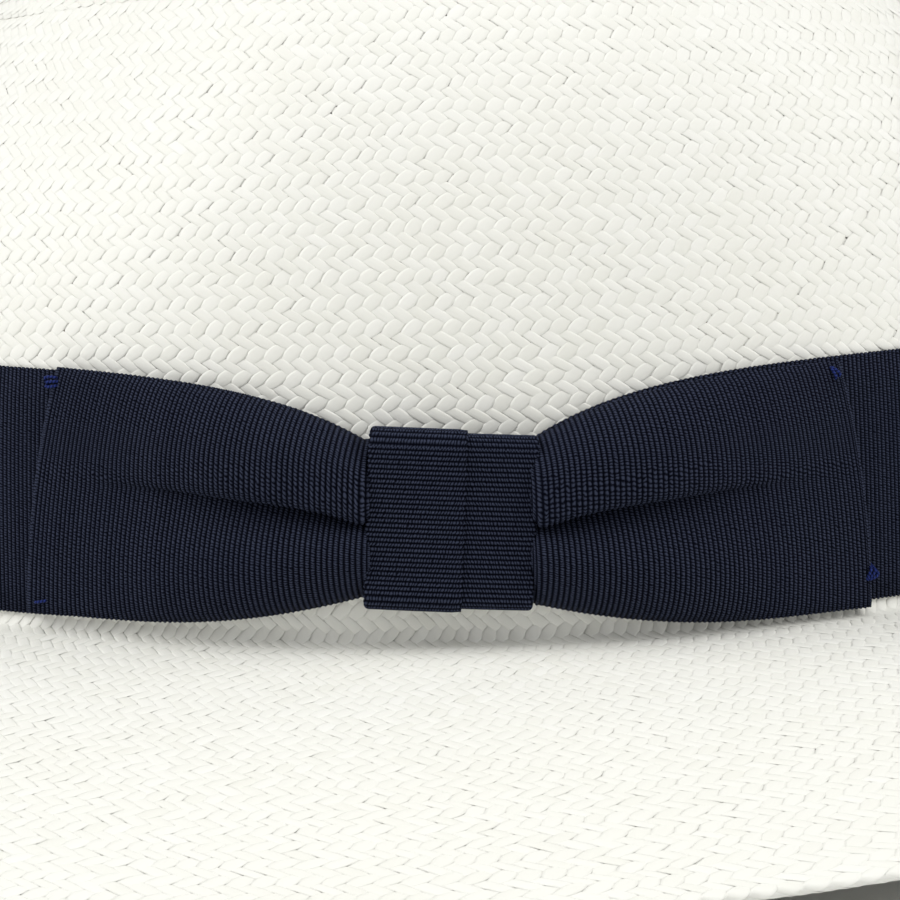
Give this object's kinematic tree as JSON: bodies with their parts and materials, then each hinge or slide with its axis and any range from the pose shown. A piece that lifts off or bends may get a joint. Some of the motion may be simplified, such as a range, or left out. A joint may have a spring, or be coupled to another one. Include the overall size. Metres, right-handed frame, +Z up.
{
  "type": "fedora hat",
  "caption": "Woven straw fedora with a creased and pinched crown, a snap brim, a ribbon band with a flat bow, and a leather sweatband.",
  "frame": {"origin": "centre of the head opening, at the line where the crown meets the brim", "axes": "+Z up through the crown, -Y to the front of the hat, +X to the side with the bow, which is the wearer's left"},
  "size_m": [0.2902, 0.3246, 0.1354],
  "materials": {
    "straw": "bleached toquilla straw, satin",
    "ribbon": "navy grosgrain, matte",
    "tack_thread": "blue sewing thread",
    "sweatband_leather": "cream leather, satin",
    "sweatband_tape": "cotton tape",
    "reed": "round plastic reed",
    "sewing_thread": "cream sewing thread",
    "sweatband_bow": "narrow cream ribbon"
  },
  "bodies": {
    "root": {"straw_body": "straw", "hat_band": "ribbon", "bow_ribbon": "ribbon", "bow_knot": "ribbon", "bow_tack_front_upper": "tack_thread", "bow_tack_front_lower": "tack_thread", "bow_tack_rear_upper": "tack_thread", "bow_tack_rear_lower": "tack_thread", "sweatband": "sweatband_leather", "sweatband_tape": "sweatband_tape", "sweatband_reed": "reed", "sweatband_stitching": "sewing_thread", "sweatband_seam_thread": "sewing_thread", "sweatband_bow": "sweatband_bow"}
  },
  "joints": []
}
